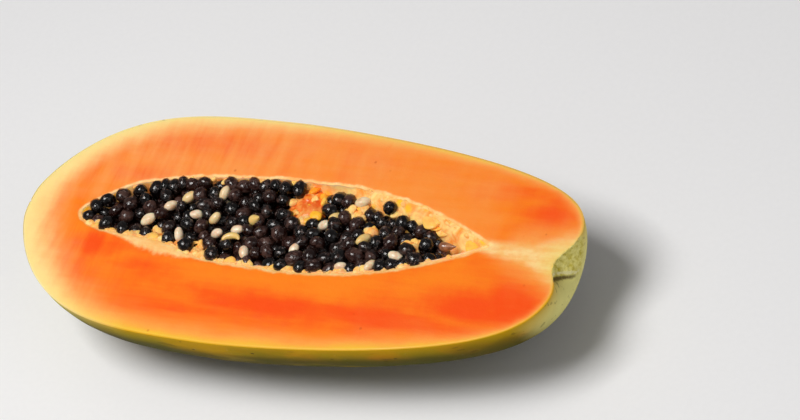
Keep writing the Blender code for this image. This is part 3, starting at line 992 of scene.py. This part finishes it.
def tidy_shell(made):
    """Deletes the points that welding left over, and turns all faces outwards."""
    shape = bmesh.new()
    shape.from_mesh(made.data)
    bmesh.ops.delete(shape, geom=[vert for vert in shape.verts if not vert.link_faces], context="VERTS")
    bmesh.ops.recalc_face_normals(shape, faces=shape.faces)
    shape.to_mesh(made.data)
    shape.free()


def make_pulp():
    """The wet mass between and under the seeds, from wall to wall."""
    x = np.linspace(HOLLOW_ENDS[0] + PULP_MARGIN, SEEDS_BETWEEN[1] + PULP_MARGIN, PULP_RINGS)[:, None]
    across = np.sin(np.linspace(-pi / 2, pi / 2, PULP_POINTS))[None, :]
    y = hollow_middle(x) + hollow_width(x, across) * across
    wall = -hollow_depth(x) * section_depth(x, across)
    flat = grid_points(x, y, np.zeros_like(y)).reshape(-1, 3)
    bare, ripe = np.zeros_like(y), np.zeros_like(y)
    for middle_x, middle_y, half_x, half_y, ripeness in BARE_PATCHES:
        patch = np.exp(-(((x - middle_x) / half_x) ** 4 + ((y - middle_y) / half_y) ** 4))
        to_far = smooth_step((-0.6, 0.6), (y - middle_y) / half_y)
        graded = ripeness * (NEAR_SIDE_RIPENESS + (1.0 - NEAR_SIDE_RIPENESS) * to_far)
        ripe = np.where(patch > bare, graded, ripe)
        bare = np.maximum(bare, patch)
    rough = (lumps(flat, PULP_LUMPS[1]) * PULP_LUMPS[0]).reshape(y.shape)
    torn = np.abs(lumps(flat, BARE_LUMPS[1], 4.0)) + 0.6 * lumps(flat, BARE_LUMPS[1] / 2.5, 6.0)
    core = heap_top(x, y) - PULP_BELOW_SEEDS + rough
    tissue = BARE_PATCH_HEIGHT - PULP_BELOW_TISSUE + BARE_LUMPS[0] * torn.reshape(y.shape)
    core = core + (tissue - core) * bare
    top = np.maximum(core, wall - PULP_IN_WALL[0])
    below = grid_points(x, y, wall - PULP_IN_WALL[1])
    rings = np.concatenate([grid_points(x, y, top), below[:, ::-1]], axis=1)
    count, around = rings.shape[:2]
    number = np.arange(count * around).reshape(count, around)
    faces, _ = ring_faces(number, [0] * around)
    faces += [number[0].tolist(), number[-1].tolist()]
    painted = {"bare": bare, "ripe": ripe}
    attributes = {key: np.hstack([value, value[:, ::-1]]).ravel() for key, value in painted.items()}
    made = mesh_piece("wet_pulp", rings.reshape(-1, 3), faces, [WET_PULP], attributes)
    tidy_shell(made)
    stands_for(made, "seeds")


# What repeats: seeds and shreds, scattered by one tree of nodes


BEAD_INPUTS = {"Subdivisions": "Int", "Wrinkle size": "Float", "Wrinkle depth": "Float", "Finish": "Material"}


def bead_tree():
    """Places a wrinkled bead on each point, by the point's turn and size."""
    tree = bpy.data.node_groups.new("beads", "GeometryNodeTree")
    for name, kind in (("Places", "Geometry"), *BEAD_INPUTS.items()):
        tree.interface.new_socket(name, in_out="INPUT", socket_type="NodeSocket" + kind)
    tree.interface.new_socket("Beads", in_out="OUTPUT", socket_type="NodeSocketGeometry")
    nodes = Nodes(tree)
    group = tree.nodes.new("NodeGroupInput")
    given = {socket.name: Value(nodes, socket) for socket in group.outputs if socket.name}
    vector = {"data_type": "FLOAT_VECTOR"}
    turn = nodes.add("GeometryNodeInputNamedAttribute", vector, {"Name": "turn"})
    size = nodes.add("GeometryNodeInputNamedAttribute", vector, {"Name": "size"})
    sockets = {"Radius": 1.0, "Subdivisions": given["Subdivisions"]}
    bead = nodes.add("GeometryNodeMeshIcoSphere", sockets=sockets)
    rotation = nodes.add("FunctionNodeEulerToRotation", sockets={"Euler": turn})
    sockets = {"Points": given["Places"], "Instance": bead, "Rotation": rotation, "Scale": size}
    placed = nodes.add("GeometryNodeInstanceOnPoints", sockets=sockets)
    real = nodes.add("GeometryNodeRealizeInstances", sockets={"Geometry": placed})
    position = nodes.add("GeometryNodeInputPosition")
    normal = nodes.add("GeometryNodeInputNormal")
    ripple = nodes.add("ShaderNodeTexNoise", sockets={"Vector": position, "Scale": 1 / given["Wrinkle size"]})
    depth = (ripple - 0.5) * given["Wrinkle depth"]
    offset = nodes.add("ShaderNodeVectorMath", {"operation": "SCALE"}, {"Vector": normal, "Scale": depth})
    moved = nodes.add("GeometryNodeSetPosition", sockets={"Geometry": real, "Offset": offset})
    smooth = nodes.add("GeometryNodeSetShadeSmooth", sockets={"Geometry": moved})
    done = nodes.add("GeometryNodeSetMaterial", sockets={"Geometry": smooth, "Material": given["Finish"]})
    nodes.add("NodeGroupOutput", sockets={"Beads": done})
    return tree


BEADS = bead_tree()


def make_beads(name, beads, finish, node="seeds"):
    """One piece of many beads. Each bead is (place, turn, size, tint)."""
    places, turns, sizes, tints = zip(*beads)
    mesh = bpy.data.meshes.new(name)
    mesh.from_pydata([Vector(place) + LIFT for place in places], [], [])
    for key, values in (("turn", turns), ("size", sizes), ("tint", tints)):
        write(mesh, key, values)
    made = new_object(name, mesh)
    modifier = made.modifiers.new("beads", "NODES")
    modifier.node_group = BEADS
    for key, value in zip(BEAD_INPUTS, (*BEAD_SHAPES[name], finish)):
        modifier[BEADS.interface.items_tree[key].identifier] = value
    graph = bpy.context.evaluated_depsgraph_get()
    baked = bpy.data.meshes.new_from_object(made.evaluated_get(graph))
    made.modifiers.clear()
    made.data = baked
    stands_for(made, node)


def resting_height(x, y, radius):
    """Height of the middle of a seed that lies on the heap or on the hollow's wall."""
    return min(float(max(heap_top(x, y), wall_height(x, y) + 0.8 * radius)), HIGHEST_MIDDLE)


def seed_turn(draw):
    return [draw.uniform(0.0, pi) for _ in range(3)]


def make_seeds():
    draw = random.Random(5)
    pale_places, rim_places, _, _ = placed_by_hand()
    upper, lower = [], []
    for place, radius in settled_seeds():
        depth = heap_top(place[0], place[1]) - place[2]
        if depth > SHOWING_DEPTH:
            continue
        size = [float(radius) * side * draw.uniform(*SEED_VARIETY) for side in SEED_SHAPE]
        (upper if depth < TOP_LAYER else lower).append((place, seed_turn(draw), size, draw.random()))
    for place in rim_places:
        upper.append((place, seed_turn(draw), [SEED_RADIUS * side for side in SEED_SHAPE], draw.random()))
    make_beads("dark_seeds", upper, DARK_SEED)
    make_beads("deeper_seeds", lower, DARK_SEED)

    pale = []
    for place in pale_places:
        radius = PALE_SEED_RADIUS * draw.uniform(*PALE_SEED_VARIETY)
        turn = (pi / 2 + draw.uniform(-0.5, 0.5), 0.0, draw.uniform(0.0, pi))
        size = [radius * side * draw.uniform(*PALE_SIDE_VARIETY) for side in PALE_SEED_SHAPE]
        pale.append((place, turn, size, draw.random()))
    make_beads("pale_seeds", pale, PALE_SEED)


def odd_seed(name, finish, place, turn, shape_values):
    """A seed that grew wrong: bent to an arc or drawn to a point."""
    half_length, thickness, bend, point = shape_values
    shape = bmesh.new()
    bmesh.ops.create_uvsphere(shape, u_segments=28, v_segments=28, radius=1.0)
    for vert in shape.verts:
        along = vert.co.z
        angle = along * bend
        out = Vector((cos(angle), 0.0, sin(angle)))
        spine = (half_length / bend) * (out - Vector((1.0, 0.0, 0.0)))
        narrow = thickness * (1.0 - point * (0.5 + 0.5 * along))
        vert.co = spine + out * vert.co.x * narrow + Vector((0.0, vert.co.y * narrow, 0.0))
    matrix = Matrix.Translation(place) @ Euler(turn).to_matrix().to_4x4()
    bmesh.ops.transform(shape, matrix=matrix, verts=shape.verts)
    bmesh.ops.recalc_face_normals(shape, faces=shape.faces)
    points = [tuple(vert.co) for vert in shape.verts]
    shape.verts.index_update()
    faces = [[vert.index for vert in face.verts] for face in shape.faces]
    shape.free()
    stands_for(mesh_piece(name, points, faces, [finish], {"tint": [1.0] * len(points)}), "seeds")


# Seeds that grew wrong: finish, place, turn, and half length, thickness, bend and point
ODD_SEEDS = {
    "crescent_seed": (
        PALE_SEED, (-0.0236, -0.0068, 0.0012), (1.57, 0.25, 1.75), (0.0052, 0.0017, 1.25, 0.2)
    ),
    "cone_seed": (PALE_SEED, (-0.0165, 0.0035, 0.0006), (0.3, 0.9, 0.4), (0.0034, 0.0034, 0.1, 0.75)),
    "brown_seed": (BROWN_SEED, (0.0775, 0.0022, -0.0014), (0.2, 1.5, 0.25), (0.0042, 0.003, 0.2, 0.8)),
}


def make_tissue():
    """Soft lumps on the ramp, in the bare patches and along the torn edge of the lining."""
    draw = random.Random(21)

    def lump(x, y, height, length, tint, flatness):
        size = [length * draw.uniform(0.5, 0.8), length, length * draw.uniform(*flatness)]
        turn = (draw.uniform(-0.4, 0.4), draw.uniform(-0.4, 0.4), draw.uniform(0.0, pi))
        return ((x, y, min(height, TISSUE_TOP)), turn, size, tint)

    ramp = []
    count, lengths, flatness = RAMP_TISSUE
    while len(ramp) < count:
        x, across = (draw.uniform(*span) for span in RAMP_TISSUE_BETWEEN)
        y = float(hollow_middle(x) + hollow_width(x, 1.0) * across)
        if heap_top(x, y) < wall_height(x, y):
            length = draw.uniform(*lengths)
            tint = draw.choice((0.0, 0.1, 0.2, 0.3, 0.4))
            height = float(wall_height(x, y)) - RAMP_TISSUE_SUNK * length
            ramp.append(lump(x, y, height, length, tint, flatness))
    make_beads("ramp_tissue", ramp, WET_TISSUE)

    bare = []
    few, more = PATCH_TISSUE
    for middle_x, middle_y, half_x, half_y, ripeness in BARE_PATCHES:
        for _ in range(round(few + more * ripeness)):
            away, angle = sqrt(draw.random()), draw.uniform(0.0, 2 * pi)
            x = middle_x + away * half_x * cos(angle)
            y = middle_y + away * half_y * sin(angle)
            height = BARE_PATCH_HEIGHT + draw.uniform(*PATCH_TISSUE_LIFT)
            far_side = 0.5 + 0.5 * sin(angle) * away
            graded = NEAR_SIDE_RIPENESS + (1.0 - NEAR_SIDE_RIPENESS) * far_side
            tint = ripeness * draw.choice((0.2, 0.5, 0.8, 1.0)) * graded
            bare.append(lump(x, y, height, draw.uniform(*PATCH_TISSUE_LENGTH), tint, FRINGE[2]))
    count, lengths, flatness = BARE_TISSUE
    while len(bare) < count:
        x = draw.uniform(*BARE_TISSUE_BETWEEN[0])
        y = float(hollow_middle(x)) + draw.uniform(*BARE_TISSUE_BETWEEN[1]) * float(hollow_share(x))
        height = float(heap_top(x, y)) - draw.uniform(*BARE_TISSUE_SUNK)
        length = draw.uniform(*lengths)
        bare.append(lump(x, y, height, length, draw.choice((0.0, 0.2, 0.4, 0.6)), flatness))
    make_beads("bare_tissue", bare, WET_TISSUE)

    fringe = []
    count, lengths, flatness = FRINGE
    start, whole = FRINGE_BETWEEN
    for step in range(count):
        x = start + whole * (step + draw.random()) / count
        side = draw.choice((-1, -1, -1, 1))
        length = draw.uniform(*lengths)
        y = float(hollow_middle(x) + side * (hollow_width(x, side) - draw.uniform(*FRINGE_OUT) * length))
        height = -FRINGE_DROP[0] - FRINGE_DROP[1] * length
        fringe.append(lump(x, y, height, length, draw.choice((0.0, 0.1, 0.2, 0.3)), flatness))
    make_beads("torn_fringe", fringe, WET_TISSUE, "papaya_half")


# Floor, light and camera

FLOOR_REACH = 3.0


def make_floor():
    mesh = bpy.data.meshes.new("floor")
    corners = [(x * FLOOR_REACH, y * FLOOR_REACH, 0.0) for x, y in ((-1, -1), (1, -1), (1, 1), (-1, 1))]
    mesh.from_pydata(corners, [], [(0, 1, 2, 3)])
    mesh.materials.append(material("pale_floor", floor_paint))
    new_object("floor", mesh)


# The photo's view: directions of the camera's right, top and back, and its place over the cut plane
VIEW_RIGHT = Vector((0.8852, 0.3448, -0.3124))
VIEW_UP = Vector((-0.0995, 0.7962, 0.5968))
VIEW_BACK = Vector((0.4545, -0.4972, 0.7391))
EYE = Vector((0.61834, -0.60529, 0.92543))
FOCAL_MM = 131.29


def make_camera():
    camera = new_object("camera", bpy.data.cameras.new("camera"))
    camera.data.lens = FOCAL_MM
    turn = Matrix((VIEW_RIGHT, VIEW_UP, VIEW_BACK)).transposed().to_4x4()
    camera.matrix_world = Matrix.Translation(EYE + LIFT) @ turn
    bpy.context.scene.camera = camera


def soft_light(name, towards, distance, size, watts, tone):
    """A square soft box that shines at the middle of the fruit."""
    light = new_object(name, bpy.data.lights.new(name, "AREA"))
    light.data.size = size
    light.data.energy = watts
    light.data.color = tone
    direction = Vector(towards).normalized()
    turn = direction.to_track_quat("Z", "Y").to_matrix().to_4x4()
    light.matrix_world = Matrix.Translation(direction * distance) @ turn


def make_lights():
    soft_light("key", (-0.15, -0.24, 0.95), 1.3, 0.55, 14.1, (1.0, 0.99, 0.97))
    soft_light("fill", VIEW_BACK + 0.5 * VIEW_RIGHT + 0.2 * VIEW_UP, 1.6, 0.9, 2.2, (1.0, 0.99, 0.98))
    world = bpy.data.worlds.new("studio")
    world.use_nodes = True
    sky = world.node_tree.nodes["Background"].inputs
    sky["Color"].default_value = (1.0, 0.99, 0.98, 1.0)
    sky["Strength"].default_value = 0.17
    bpy.context.scene.world = world
    bpy.context.scene.view_settings.view_transform = "Standard"


def main():
    make_fruit()
    make_pulp()
    make_seeds()
    for name, values in ODD_SEEDS.items():
        odd_seed(name, *values)
    make_tissue()
    make_floor()
    make_camera()
    make_lights()


main()
